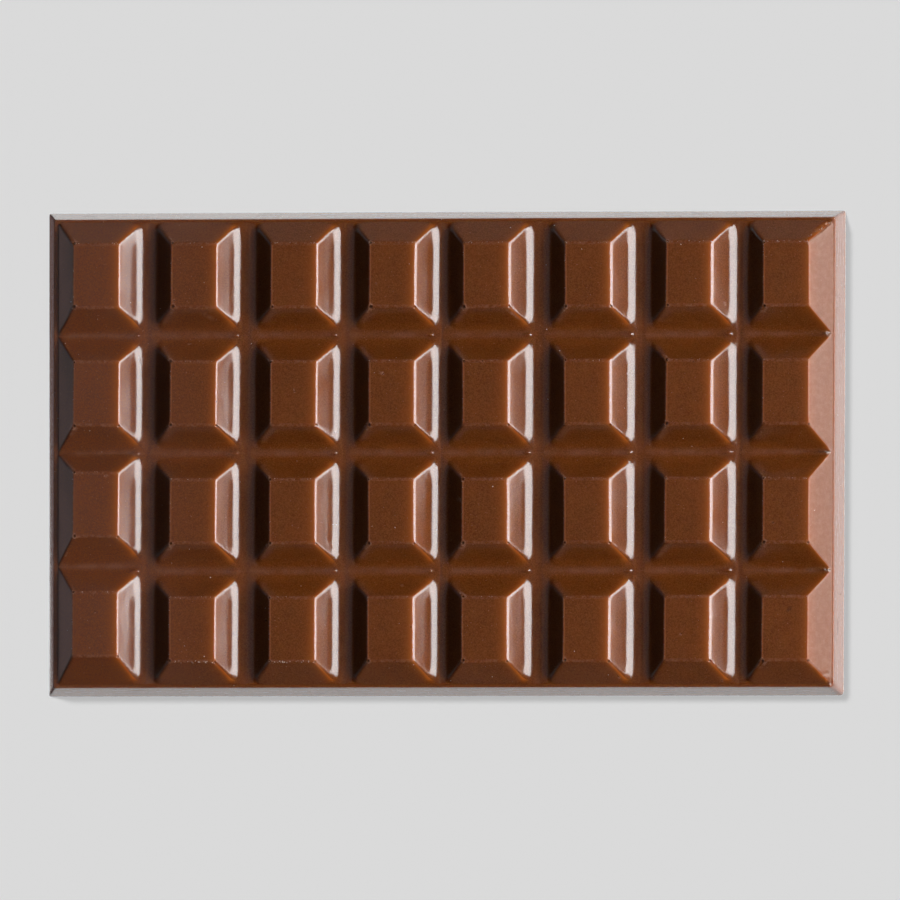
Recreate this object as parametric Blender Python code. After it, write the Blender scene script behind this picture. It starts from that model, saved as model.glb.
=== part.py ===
"""A tablet of moulded milk chocolate: eight columns and four rows of bevelled blocks on one slab.

Units are metres and +Z is up. The bar is 150 mm long in X and 90 mm wide in Y. It lies on its flat
poured back, whose middle is the origin. One drafted cutter takes each side of the slab down, and
round-bottomed cutters take the grooves between the blocks, so the whole tablet stays one solid.
"""

import math

import bmesh
import bpy

# The slab, whose walls lean in so that the tablet leaves its mould
BAR_LENGTH = 0.1500
BAR_WIDTH = 0.0904
SLAB_HEIGHT = 0.0040
WALL_DRAFT = 0.0015

# The blocks, named by their flat tops
COLUMNS = 8
ROWS = 4
BLOCK_HEIGHT = 0.00367
FLAT_LENGTH = 0.00860
FLAT_WIDTH = 0.01206
COLUMN_PITCH = 0.01853
ROW_PITCH = 0.02202
RIM_BEVEL = 0.00045

# Each column's drift from its even place, as the tablet shrinks unevenly in the mould
COLUMN_DRIFT = (0.0, -0.00017, 0.00012, 0.00011, -0.00075, -0.00019, 0.00025, 0.0)

# The grooves. Those along Y run a little deeper, so they pass straight through the others.
COLUMN_GROOVE_DEPTH = 0.00350
ROW_GROOVE_DEPTH = 0.00342
FLANK_ANGLE = math.radians(45.0)
ARC_STEPS = 8

# The slopes around the outside, each above a narrow shoulder on the slab
LEFT_SLOPE = 0.00355
RIGHT_SLOPE = 0.00405
SIDE_SLOPE = 0.00414

# In the first column the two nearer blocks stand off their rows, and so does the groove between them
LOW_BLOCK_DRIFT = {0: 0.00108, 1: 0.00132}
LOW_GROOVE_DRIFT = 0.00097

# How far the cutters reach past the solid
OVERCUT = 0.0030

TOTAL_HEIGHT = SLAB_HEIGHT + BLOCK_HEIGHT

# From the bar's foot to the rim of the first flat top, at an end and at a side
END_MARGIN = (BAR_LENGTH - (COLUMNS - 1) * COLUMN_PITCH - FLAT_LENGTH) / 2
SIDE_MARGIN = (BAR_WIDTH - (ROWS - 1) * ROW_PITCH - FLAT_WIDTH) / 2


def clear_scene():
    for scene_object in list(bpy.data.objects):
        bpy.data.objects.remove(scene_object, do_unlink=True)


def new_collection(name):
    collection = bpy.data.collections.new(name)
    bpy.context.scene.collection.children.link(collection)
    return collection


def milk_chocolate():
    material = bpy.data.materials.new("milk_chocolate")
    material.use_nodes = True
    shader = material.node_tree.nodes["Principled BSDF"]
    shader.inputs["Base Color"].default_value = (0.130, 0.037, 0.011, 1.0)
    shader.inputs["Roughness"].default_value = 0.28
    shader.inputs["Metallic"].default_value = 0.0
    return material


def flat_centre_x(column):
    return (column - (COLUMNS - 1) / 2) * COLUMN_PITCH + COLUMN_DRIFT[column]


def flat_centre_y(row):
    """The middle of a row's flat tops. Row 0 is the one nearest -Y."""
    return (row - (ROWS - 1) / 2) * ROW_PITCH


def block_of_material(name, length, width, height):
    """A box that stands on Z = 0."""
    mesh = bpy.data.meshes.new(name)
    shape = bmesh.new()
    bmesh.ops.create_cube(shape, size=1.0)
    bmesh.ops.scale(shape, vec=(length, width, height), verts=shape.verts)
    bmesh.ops.translate(shape, vec=(0.0, 0.0, height / 2), verts=shape.verts)
    shape.to_mesh(mesh)
    shape.free()
    return bpy.data.objects.new(name, mesh)


def groove_flank(reach, depth):
    """One half of a groove's section, from above its rim down to its middle.

    The flank leaves the bevelled rim at the flank angle, then turns level along an arc. The arc's
    radius is the one that ends at this depth when the middle is this far from the rim.
    """
    straight_reach = depth / math.tan(FLANK_ANGLE)
    arc_share = 1 - math.tan(FLANK_ANGLE / 2) / math.tan(FLANK_ANGLE)
    radius = (reach - straight_reach) / arc_share / math.sin(FLANK_ANGLE)
    bevel_rise = OVERCUT * math.tan(FLANK_ANGLE / 2)
    bevel_run = RIM_BEVEL * math.cos(FLANK_ANGLE)
    bevel_drop = RIM_BEVEL * math.sin(FLANK_ANGLE)
    points = [
        (reach + RIM_BEVEL + OVERCUT, TOTAL_HEIGHT + bevel_rise),
        (reach - bevel_run, TOTAL_HEIGHT - bevel_drop),
    ]
    for step in range(ARC_STEPS + 1):
        angle = FLANK_ANGLE * (1 - step / ARC_STEPS)
        across = radius * math.sin(angle)
        height = TOTAL_HEIGHT - depth + radius * (1 - math.cos(angle))
        points.append((across, height))
    return points


def groove_section(before, after, depth):
    """A groove's closed section, as (across, height) points about its middle line."""
    left = [(-across, height) for across, height in groove_flank(before, depth)]
    right = groove_flank(after, depth)
    right.reverse()
    lid = TOTAL_HEIGHT + 2 * OVERCUT
    return [(left[0][0], lid)] + left + right[1:] + [(right[-1][0], lid)]


def edge_section(slope, margin):
    """What lies outside the bar at one side, as (distance past the bar's foot, height) points.

    It holds the drafted wall, the narrow shoulder and the outer slope of the blocks.
    """
    draft_below = WALL_DRAFT * OVERCUT / SLAB_HEIGHT
    slope_length = math.hypot(slope, BLOCK_HEIGHT)
    bevel_run = RIM_BEVEL * slope / slope_length
    bevel_drop = RIM_BEVEL * BLOCK_HEIGHT / slope_length
    bevel_rise = OVERCUT * bevel_drop / (bevel_run + RIM_BEVEL)
    bevel_end = -margin - RIM_BEVEL - OVERCUT
    return [
        (OVERCUT, -OVERCUT),
        (draft_below, -OVERCUT),
        (-WALL_DRAFT, SLAB_HEIGHT),
        (slope - margin, SLAB_HEIGHT),
        (bevel_run - margin, TOTAL_HEIGHT - bevel_drop),
        (bevel_end, TOTAL_HEIGHT + bevel_rise),
        (bevel_end, TOTAL_HEIGHT + OVERCUT),
        (OVERCUT, TOTAL_HEIGHT + OVERCUT),
    ]


def prism(name, section, length):
    """A closed prism with this section in XZ, from Y = 0 to Y = length."""
    mesh = bpy.data.meshes.new(name)
    shape = bmesh.new()
    outline = shape.faces.new([shape.verts.new((x, 0.0, z)) for x, z in section])
    grown = bmesh.ops.extrude_face_region(shape, geom=[outline])
    moved = [item for item in grown["geom"] if isinstance(item, bmesh.types.BMVert)]
    bmesh.ops.translate(shape, vec=(0.0, length, 0.0), verts=moved)
    bmesh.ops.recalc_face_normals(shape, faces=shape.faces)
    shape.to_mesh(mesh)
    shape.free()
    return bpy.data.objects.new(name, mesh)


def add_cutter(bar, cutters, cutter, location, turn):
    """Places a cutter, turned about Z, and takes it out of the bar."""
    cutters.objects.link(cutter)
    cutter.location = location
    cutter.rotation_euler = (0.0, 0.0, turn)
    cutter.hide_render = True
    cutter.display_type = "WIRE"
    cut = bar.modifiers.new(cutter.name, "BOOLEAN")
    cut.operation = "DIFFERENCE"
    cut.solver = "EXACT"
    cut.object = cutter


def cut_edges(bar, cutters):
    """The four sides: drafted wall, shoulder and outer slope."""
    long_run = BAR_LENGTH + 2 * OVERCUT
    short_run = BAR_WIDTH + 2 * OVERCUT
    for side, slope, turn in (("right", RIGHT_SLOPE, 0.0), ("left", LEFT_SLOPE, math.pi)):
        sign = 1 if side == "right" else -1
        cutter = prism("edge_" + side, edge_section(slope, END_MARGIN), short_run)
        add_cutter(bar, cutters, cutter, (sign * BAR_LENGTH / 2, -sign * short_run / 2, 0.0), turn)
    for side, turn in (("far", math.pi / 2), ("near", -math.pi / 2)):
        sign = 1 if side == "far" else -1
        cutter = prism("edge_" + side, edge_section(SIDE_SLOPE, SIDE_MARGIN), long_run)
        add_cutter(bar, cutters, cutter, (sign * long_run / 2, sign * BAR_WIDTH / 2, 0.0), turn)

    # The drifted corner block has a longer outer slope
    first_groove, _ = groove_between_columns(0)
    drift = LOW_BLOCK_DRIFT[0]
    section = edge_section(SIDE_SLOPE + drift, SIDE_MARGIN + drift)
    cutter = prism("edge_near_end", section, first_groove + long_run / 2)
    add_cutter(bar, cutters, cutter, (-long_run / 2, -BAR_WIDTH / 2, 0.0), -math.pi / 2)


def groove_between_columns(column):
    """(middle, half gap) of the groove between a column and the next."""
    left_rim = flat_centre_x(column) + FLAT_LENGTH / 2
    right_rim = flat_centre_x(column + 1) - FLAT_LENGTH / 2
    return (left_rim + right_rim) / 2, (right_rim - left_rim) / 2


def cut_column_grooves(bar, cutters):
    run = BAR_WIDTH + 2 * OVERCUT
    for column in range(COLUMNS - 1):
        middle, half_gap = groove_between_columns(column)
        section = groove_section(half_gap, half_gap, COLUMN_GROOVE_DEPTH)
        cutter = prism(f"column_groove_{column + 1}", section, run)
        add_cutter(bar, cutters, cutter, (middle, -run / 2, 0.0), 0.0)


def cut_row_grooves(bar, cutters):
    """Each groove along X is cut in two lengths, which meet in the first groove along Y."""
    first_groove, _ = groove_between_columns(0)
    bar_end = BAR_LENGTH / 2 + OVERCUT
    half_gap = (ROW_PITCH - FLAT_WIDTH) / 2
    for row in range(ROWS - 1):
        middle = (flat_centre_y(row) + flat_centre_y(row + 1)) / 2
        section = groove_section(half_gap, half_gap, ROW_GROOVE_DEPTH)
        cutter = prism(f"row_groove_{row + 1}", section, bar_end - first_groove)
        add_cutter(bar, cutters, cutter, (bar_end, middle, 0.0), math.pi / 2)

        below = flat_centre_y(row) + LOW_BLOCK_DRIFT.get(row, 0.0) + FLAT_WIDTH / 2
        above = flat_centre_y(row + 1) + LOW_BLOCK_DRIFT.get(row + 1, 0.0) - FLAT_WIDTH / 2
        drifted = middle + (LOW_GROOVE_DRIFT if row == 0 else 0.0)
        section = groove_section(drifted - below, above - drifted, ROW_GROOVE_DEPTH)
        cutter = prism(f"row_groove_{row + 1}_end", section, bar_end + first_groove)
        add_cutter(bar, cutters, cutter, (first_groove, drifted, 0.0), math.pi / 2)


def build_bar():
    tablet = new_collection("chocolate_bar")
    cutters = new_collection("cutters")
    bar = block_of_material(
        "chocolate_bar",
        BAR_LENGTH + OVERCUT,
        BAR_WIDTH + OVERCUT,
        TOTAL_HEIGHT,
    )
    bar.data.materials.append(milk_chocolate())
    tablet.objects.link(bar)
    cut_edges(bar, cutters)
    cut_column_grooves(bar, cutters)
    cut_row_grooves(bar, cutters)


clear_scene()
build_bar()
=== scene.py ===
import math
import random

import bmesh
import bpy
from mathutils import Matrix, Vector, noise
from mathutils.bvhtree import BVHTree


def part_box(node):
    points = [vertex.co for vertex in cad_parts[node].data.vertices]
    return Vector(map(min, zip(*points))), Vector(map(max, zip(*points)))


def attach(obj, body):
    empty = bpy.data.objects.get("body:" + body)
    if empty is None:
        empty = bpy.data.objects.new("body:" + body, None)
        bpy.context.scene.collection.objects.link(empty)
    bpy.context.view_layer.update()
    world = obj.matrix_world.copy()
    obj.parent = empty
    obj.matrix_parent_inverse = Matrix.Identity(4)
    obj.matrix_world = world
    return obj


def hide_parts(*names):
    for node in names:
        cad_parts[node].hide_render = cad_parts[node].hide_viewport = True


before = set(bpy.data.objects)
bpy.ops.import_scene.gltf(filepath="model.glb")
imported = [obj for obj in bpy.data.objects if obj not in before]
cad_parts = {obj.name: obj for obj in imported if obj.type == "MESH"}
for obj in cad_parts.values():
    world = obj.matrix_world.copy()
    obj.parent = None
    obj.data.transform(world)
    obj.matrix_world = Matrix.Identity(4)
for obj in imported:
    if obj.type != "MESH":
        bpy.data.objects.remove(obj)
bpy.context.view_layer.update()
mm = 0.001
print("frame loaded")


# ---- the tablet ----

# Lengths in mm, on the bar's own axes. Its length, width and height are the frame's.
tablet = {
    "columns": 8,
    "rows": 4,
    "columnPitch": 18.53,
    "rowPitch": 22.02,
    "flatLength": 8.60,  # the flat top of a block, along X
    "flatWidth": 12.06,  # and along Y
    "slabHeight": 4.0,
    "wallDraft": 1.5,
    "leftSlope": 3.55,  # run of the outermost slopes at the two ends
    "rightSlope": 3.96,
    "sideSlope": 4.14,  # and at the two long sides
    "columnGroove": 3.60,  # depth of the grooves along Y, which run straight through
    "rowGroove": 3.54,
    "columnAngle": 45.0,  # how steep the grooves' flanks are
    "rowAngle": 45.0,
    "rimRadii": (0.50, 0.55, 0.75, 0.95, 1.10, 1.10, 1.15),  # above each groove along Y
    "leftRim": 0.50,
    "sideRim": 0.90,  # towards -Y and +Y
    "sharpRim": 0.15,  # at the two ends
    "pointReach": 0.97,  # how far a row groove's flank has come when it meets an end's slope
    "hipRadius": (0.50, 2.6),  # between two flanks, at the top and at the base
    "wornHip": 1.1,  # of the far right corner
    "footRadius": 0.20,
    "edgeRadius": 0.18,
    "columnDrift": (0.0, -0.17, 0.12, 0.11, -0.75, -0.19, 0.25, 0.0),
    "lowBlockDrift": {0: 1.08, 1: 1.32},  # first column only
    "lowGrooveDrift": 0.97,
    "leftLean": 0.45,  # how much the left end leans in towards -Y
    "acrossSegments": 16,  # mesh steps along a block's X side
    "alongSegments": 22,  # and along its Y side
    "cornerSteps": (0.15, 0.40, 0.80, 1.40, 2.20),  # points gathered beside each corner
    "seed": 7,
}

# How far the blocks differ from each other, and how wavy the surface is, in mm and degrees
unevenness = {
    "shift": 0.07,
    "turn": 0.35,
    "height": 0.02,
    "tilt": 0.16,
    "crown": 0.015,
    "wave": 0.013,
    "waveLength": 7.0,
    "ripple": 0.007,
    "rippleLength": 1.8,
    "sway": 0.05,
    "swayLength": 5.0,
}

low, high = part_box("chocolate_bar")
barLength = (high[0] - low[0]) / mm
barWidth = (high[1] - low[1]) / mm
barHeight = (high[2] - low[2]) / mm
blockHeight = barHeight - tablet["slabHeight"]
columnAngle = math.radians(tablet["columnAngle"])
rowAngle = math.radians(tablet["rowAngle"])
columnReach = (tablet["columnPitch"] - tablet["flatLength"]) / 2
rowReach = (tablet["rowPitch"] - tablet["flatWidth"]) / 2
columnFoot = (columnReach - tablet["columnGroove"] / math.tan(columnAngle)) / math.tan(columnAngle / 2)


def flatCentreX(column):
    return (column - (tablet["columns"] - 1) / 2) * tablet["columnPitch"] + tablet["columnDrift"][column]


def flatCentreY(column, row):
    drift = tablet["lowBlockDrift"].get(row, 0.0) if column == 0 else 0.0
    return (row - (tablet["rows"] - 1) / 2) * tablet["rowPitch"] + drift


def columnLine(column):  # middle of the groove after this column
    return (flatCentreX(column) + flatCentreX(column + 1)) / 2


def rowLine(column, row):  # middle of the groove above this row
    drift = tablet["lowGrooveDrift"] if column == 0 and row == 0 else 0.0
    return (row + 1 - tablet["rows"] / 2) * tablet["rowPitch"] + drift


# A flank is the way from a flat's rim down to a groove's middle, or to the slab's shoulder:
# a rounded rim, a straight slope and a hollow foot
def columnFlank(rim, line, rimRadius):
    drop = tablet["columnGroove"]
    # where the blocks stand closer, the two flanks meet before they are level
    short = max(0.0, columnReach - abs(line - rim))
    meet = drop - columnFoot + math.sqrt(columnFoot ** 2 - short ** 2)
    return {"rim": rim, "sign": 1 if line > rim else -1, "drop": drop, "angle": columnAngle,
            "rimRadius": rimRadius, "footRadius": columnFoot, "line": line, "meet": meet}


def rowFlank(rim, line):
    drop = tablet["rowGroove"]
    foot = (abs(line - rim) - drop / math.tan(rowAngle)) / math.tan(rowAngle / 2)
    return {"rim": rim, "sign": 1 if line > rim else -1, "drop": drop, "angle": rowAngle,
            "rimRadius": tablet["sideRim"], "footRadius": foot, "line": line, "meet": drop}


def outerFlank(rim, footPlace, rimRadius):
    angle = math.atan2(blockHeight, abs(footPlace - rim))
    return {"rim": rim, "sign": 1 if footPlace > rim else -1, "drop": blockHeight, "angle": angle,
            "rimRadius": rimRadius, "footRadius": tablet["footRadius"], "line": None,
            "meet": blockHeight}


def placeOnFlank(flank, depth):
    angle, drop, foot, rim = (flank[key] for key in ("angle", "drop", "footRadius", "rimRadius"))
    if flank["line"] is not None and depth > flank["meet"] - 0.0001:
        return flank["line"]
    if depth <= rim * (1 - math.cos(angle)):
        reach = math.sqrt(rim ** 2 - (rim - depth) ** 2) - rim * math.tan(angle / 2)
    elif depth <= drop - foot * (1 - math.cos(angle)):
        reach = depth / math.tan(angle)
    else:
        footEnd = drop / math.tan(angle) + foot * math.tan(angle / 2)
        reach = footEnd - math.sqrt(max(0.0, foot ** 2 - (foot - drop + depth) ** 2))
    return flank["rim"] + flank["sign"] * reach


# The depths at which every block gets a ring of points: round the rim, down the slope, round
# the hollow of the row grooves, then on down to the column grooves
def ringDepths():
    rim, rowDrop, columnDrop = max(tablet["rimRadii"]), tablet["rowGroove"], tablet["columnGroove"]
    rimSteps, slopeSteps, rowSteps, columnSteps = 6, 2, 8, 3
    rowFoot = (rowReach - rowDrop / math.tan(rowAngle)) / math.tan(rowAngle / 2)
    depths = [rim * (1 - math.cos(columnAngle * i / rimSteps)) for i in range(rimSteps + 1)]
    slopeStart, slopeEnd = depths[-1], rowDrop - rowFoot * (1 - math.cos(rowAngle))
    depths += [slopeStart + (slopeEnd - slopeStart) * i / slopeSteps for i in range(1, slopeSteps)]
    for i in range(rowSteps + 1):
        depths.append(rowDrop - rowFoot * (1 - math.cos(rowAngle * (1 - i / rowSteps))))
    lastRowRing = len(depths) - 1
    start = math.acos(1 - (columnDrop - rowDrop) / columnFoot)
    for i in range(1, columnSteps + 1):
        depths.append(columnDrop - columnFoot * (1 - math.cos(start * (1 - i / columnSteps))))
    return depths, lastRowRing


depths, lastRowRing = ringDepths()
lastRing = len(depths) - 1
# where the outer slopes meet the shoulder
leftFoot = flatCentreX(0) - tablet["flatLength"] / 2 - tablet["leftSlope"]
rightFoot = flatCentreX(tablet["columns"] - 1) + tablet["flatLength"] / 2 + tablet["rightSlope"]
farFoot = flatCentreY(1, tablet["rows"] - 1) + tablet["flatWidth"] / 2 + tablet["sideSlope"]


def blockFlanks(column, row):
    x, y = flatCentreX(column), flatCentreY(column, row)
    left, right = x - tablet["flatLength"] / 2, x + tablet["flatLength"] / 2
    near, far = y - tablet["flatWidth"] / 2, y + tablet["flatWidth"] / 2
    lastColumn, lastRow = tablet["columns"] - 1, tablet["rows"] - 1
    return {
        "left": outerFlank(left, leftFoot, tablet["sharpRim"]) if column == 0
        else columnFlank(left, columnLine(column - 1), tablet["leftRim"]),
        "right": outerFlank(right, rightFoot, tablet["sharpRim"]) if column == lastColumn
        else columnFlank(right, columnLine(column), tablet["rimRadii"][column]),
        "near": outerFlank(near, -farFoot, tablet["sideRim"]) if row == 0
        else rowFlank(near, rowLine(column, row - 1)),
        "far": outerFlank(far, farFoot, tablet["sideRim"]) if row == lastRow
        else rowFlank(far, rowLine(column, row)),
    }


# Below the row grooves a side drops only as far as its groove does
def sideDepth(flank, depth):
    top = tablet["rowGroove"]
    if depth <= top or flank["line"] is None:
        return depth
    return top + (depth - top) * (flank["meet"] - top) / (tablet["columnGroove"] - top)


# The row grooves end in points at the slopes of the two ends
def pointedEnd(flank, y, depth):
    share = min(1.0, depth / tablet["rowGroove"])
    blunt = max(0.0, (share - 0.95) / 0.05)
    reach = share * tablet["pointReach"] + (1 - tablet["pointReach"]) * blunt
    straight = flank["rim"] + (flank["line"] - flank["rim"]) * reach
    return y + (straight - y) * min(1.0, depth / 0.6)


# A ring's four corners as (x, y, depth), counter-clockwise from the near left. Past the row
# grooves' depth the corners slide to the places that the next column shares.
def ringCorners(column, row, flanks, ring):
    depth = depths[ring]
    corners = []
    for side, other in (("left", "near"), ("right", "near"), ("right", "far"), ("left", "far")):
        level = sideDepth(flanks[side], depth)
        x, y = placeOnFlank(flanks[side], level), placeOnFlank(flanks[other], min(level, depth))
        if column == 0 and side == "right" and ring > lastRowRing:
            shared = placeOnFlank(blockFlanks(1, row)[other], level)
            y += (shared - y) * (ring - lastRowRing) / (lastRing - lastRowRing)
        if flanks[side]["line"] is None and flanks[other]["line"] is not None:
            y = pointedEnd(flanks[other], y, depth)
        corners.append(Vector((x, y, level)))
    return corners


# How round the hips between neighbouring flanks are at this depth, for each corner
def hipRadii(column, row, depth):
    top, base = tablet["hipRadius"]
    lastColumn, lastRow = tablet["columns"] - 1, tablet["rows"] - 1
    radii = []
    for atEnd, atSide in (
        (column == 0, row == 0),
        (column == lastColumn, row == 0),
        (column == lastColumn, row == lastRow),
        (column == 0, row == lastRow),
    ):
        if atEnd and atSide:
            worn = column == lastColumn and row == lastRow
            radii.append(tablet["wornHip"] if worn else top)
            continue
        bottom = tablet["columnGroove"] if atSide else tablet["rowGroove"]
        share = min(1.0, depth / bottom)
        fade = max(0.0, min(1.0, (bottom - depth) / 0.12))
        pointed = atEnd and not atSide
        radii.append((top * 0.7 if pointed else top + (base - top) * share ** 5) * fade)
    return radii


def sideOffsets(length, segments):
    steps = tablet["cornerSteps"]
    plain = segments - 2 * len(steps)
    middle = length - 2 * steps[-1]
    offsets = [0.0, *steps]
    offsets += [steps[-1] + middle * i / plain for i in range(1, plain)]
    offsets += [length - step for step in reversed(steps)]
    return offsets


# The points of one side, from corner a up to but not with corner b, both rounded
def sidePoints(before, a, b, after, radiusA, radiusB, segments):
    along = (b - a).normalized()
    arriving = (a - before).normalized()
    leaving = (after - b).normalized()
    length = (b - a).length
    points = []
    for offset in sideOffsets(length, segments):
        point = a + along * offset
        if offset < radiusA:
            s = (offset + radiusA) / (2 * radiusA)
            start, end = a - arriving * radiusA, a + along * radiusA
            point = start * (1 - s) ** 2 + a * (2 * s * (1 - s)) + end * s ** 2
        elif length - offset < radiusB:
            s = (radiusB - length + offset) / (2 * radiusB)
            start, end = b - along * radiusB, b + leaving * radiusB
            point = start * (1 - s) ** 2 + b * (2 * s * (1 - s)) + end * s ** 2
        points.append(point)
    return points


def ringPoints(corners, radii):
    points = []
    for i in range(4):
        segments = tablet["acrossSegments"] if i % 2 == 0 else tablet["alongSegments"]
        points += sidePoints(
            corners[i - 1], corners[i], corners[(i + 1) % 4], corners[(i + 2) % 4],
            radii[i], radii[(i + 1) % 4], segments,
        )
    return points


# Each block sits a little off its place. The offset fades out down the flanks.
def blockJitter(column, row):
    rng = random.Random(tablet["seed"] * 100 + column * 10 + row)
    spread = unevenness
    return {
        "centre": Vector((flatCentreX(column), flatCentreY(column, row))),
        "shift": Vector((rng.uniform(-1, 1), rng.uniform(-1, 1))) * spread["shift"],
        "turn": math.radians(rng.uniform(-1, 1) * spread["turn"]),
        "height": -rng.random() * spread["height"],
        "tiltX": math.radians(rng.uniform(-1, 1) * spread["tilt"]),
        "tiltY": math.radians(rng.uniform(-1, 1) * spread["tilt"]),
    }


def jittered(point, jitter):
    depth = point.z
    fade = 1 - min(1.0, depth / tablet["rowGroove"])
    fade = fade * fade * (3 - 2 * fade)
    arm = point.xy - jitter["centre"]
    turned = Vector((-arm.y, arm.x)) * jitter["turn"]
    moved = point.xy + (jitter["shift"] + turned) * fade
    lift = jitter["height"] + arm.x * jitter["tiltX"] + arm.y * jitter["tiltY"]
    return Vector((moved.x, moved.y, barHeight - depth + (lift - 0.03) * fade))


# Painted glow: colour that stands for light coming through the edges that stand towards it, beside the right flank and
# at the left rim
def paintedGlowRing(layer, verts, flat, depth):
    across, along = tablet["acrossSegments"], tablet["alongSegments"]
    nearCorner, farCorner = flat[across], flat[across + along]
    fade = max(0.0, min(1.0, (tablet["rowGroove"] - depth) / 0.5))  # none at the crossings
    for i, vert in enumerate(verts):
        if i <= across:
            vert[layer] = math.exp(-(flat[i] - nearCorner).length / 0.75) * fade
        elif i < across + along:
            vert[layer] = math.exp(-depth / 0.25)
        elif i <= 2 * across + along:
            vert[layer] = math.exp(-(flat[i] - farCorner).length / 0.75) * fade
        else:
            vert[layer] = math.exp(-depth / 0.35) * 0.6


def addBlock(shape, layers, column, row):
    flanks, jitter = blockFlanks(column, row), blockJitter(column, row)
    across, along = tablet["acrossSegments"], tablet["alongSegments"]
    rings = []
    for ring, depth in enumerate(depths):
        flat = ringPoints(ringCorners(column, row, flanks, ring), hipRadii(column, row, depth))
        verts = [shape.verts.new(jittered(point, jitter)) for point in flat]
        for vert in verts:
            # pale rim line: scuffs, and a painted highlight along the rim
            vert[layers["rim"]] = math.exp(-((depth - 0.08) / 0.10) ** 2)
        paintedGlowRing(layers["paintedGlow"], verts, flat, depth)
        # the right end: rougher, and painted paler as if lit by the lamp on the right
        if column == tablet["columns"] - 1:
            for vert in verts[across:across + along + 1]:
                vert[layers["dull"]] = 1.0 if depth > 0 else 0.5
        rings.append(verts)
    # a pale line down each groove's middle: wear, and a painted sheen
    for side, start, stop, axis, strength in (
        ("near", 0, across, 1, 1.0),
        ("right", across, across + along, 0, 0.6),
        ("far", across + along, 2 * across + along, 1, 1.0),
        ("left", 2 * across + along, 2 * (across + along), 0, 0.6),
    ):
        if flanks[side]["line"] is not None:
            for verts in rings:
                for i in range(start, stop + 1):
                    vert = verts[i % len(verts)]
                    wearAndSheen = strength * math.exp(-((vert.co[axis] - flanks[side]["line"]) / 0.55) ** 2)
                    vert[layers["groove"]] = max(vert[layers["groove"]], wearAndSheen)

    # the flat top, whose edge is the first ring
    corners = ringCorners(column, row, flanks, 0)
    xs = [corners[0].x + offset for offset in sideOffsets(corners[1].x - corners[0].x, across)]
    ys = [corners[0].y + offset for offset in sideOffsets(corners[3].y - corners[0].y, along)]
    edge = rings[0]
    grid = [[None] * (along + 1) for _ in range(across + 1)]
    for i in range(across + 1):
        grid[i][0] = edge[i]
        grid[i][along] = edge[2 * across + along - i]
    for j in range(along + 1):
        grid[across][j] = edge[across + j]
        grid[0][j] = edge[-j]
    halfX, halfY = tablet["flatLength"] / 2, tablet["flatWidth"] / 2
    for i in range(1, across):
        for j in range(1, along):
            crownX = 1 - ((xs[i] - jitter["centre"].x) / halfX) ** 2
            crownY = 1 - ((ys[j] - jitter["centre"].y) / halfY) ** 2
            point = jittered(Vector((xs[i], ys[j], 0.0)), jitter)
            point.z += unevenness["crown"] * max(0.0, crownX) * max(0.0, crownY)
            grid[i][j] = shape.verts.new(point)
            # painted glow on the flat, brighter towards its right rim
            grid[i][j][layers["paintedGlow"]] = math.exp((xs[i] - corners[1].x) / 0.75)
    for i in range(across):
        for j in range(along):
            shape.faces.new((grid[i][j], grid[i + 1][j], grid[i + 1][j + 1], grid[i][j + 1]))

    # the flanks, ring by ring. A row groove's flank ends at its own middle line.
    count = len(edge)
    for ring in range(lastRing):
        for i in range(count):
            nearSide, farSide = i < across, across + along <= i < 2 * across + along
            ended = ring >= lastRowRing
            if ended and ((nearSide and row > 0) or (farSide and row < tablet["rows"] - 1)):
                continue
            k = (i + 1) % count
            shape.faces.new((rings[ring][i], rings[ring + 1][i], rings[ring + 1][k], rings[ring][k]))
    last = rings[-1] + rings[-1][:1]
    return {
        "near": last[:across],
        "right": last[across:across + along],
        "far": last[across + along:2 * across + along],
        "left": last[2 * across + along:2 * (across + along)],
    }


# One ring right round the bar, whose ends are at these x and whose sides at this y
def perimeterPoints(leftX, rightX, y, height, radii):
    xStops = [leftX] + [columnLine(c) for c in range(tablet["columns"] - 1)] + [rightX]
    leftStops = [-y] + [rowLine(0, r) for r in range(tablet["rows"] - 1)] + [y]
    rightStops = [-y] + [rowLine(1, r) for r in range(tablet["rows"] - 1)] + [y]
    corners = [Vector((x, v, height)) for x, v in ((leftX, -y), (rightX, -y), (rightX, y), (leftX, y))]
    route = (
        ([Vector((v, -y, height)) for v in xStops], tablet["acrossSegments"]),
        ([Vector((rightX, v, height)) for v in rightStops], tablet["alongSegments"]),
        ([Vector((v, y, height)) for v in reversed(xStops)], tablet["acrossSegments"]),
        ([Vector((leftX, v, height)) for v in reversed(leftStops)], tablet["alongSegments"]),
    )
    points = []
    for side, (stops, segments) in enumerate(route):
        last = len(stops) - 2
        for i in range(len(stops) - 1):
            radiusA = radii[side] if i == 0 else 0.0
            radiusB = radii[(side + 1) % 4] if i == last else 0.0
            before = corners[side - 1] if i == 0 else stops[i - 1]
            after = corners[(side + 2) % 4] if i == last else stops[i + 2]
            points += sidePoints(before, stops[i], stops[i + 1], after, radiusA, radiusB, segments)
    return points


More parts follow.
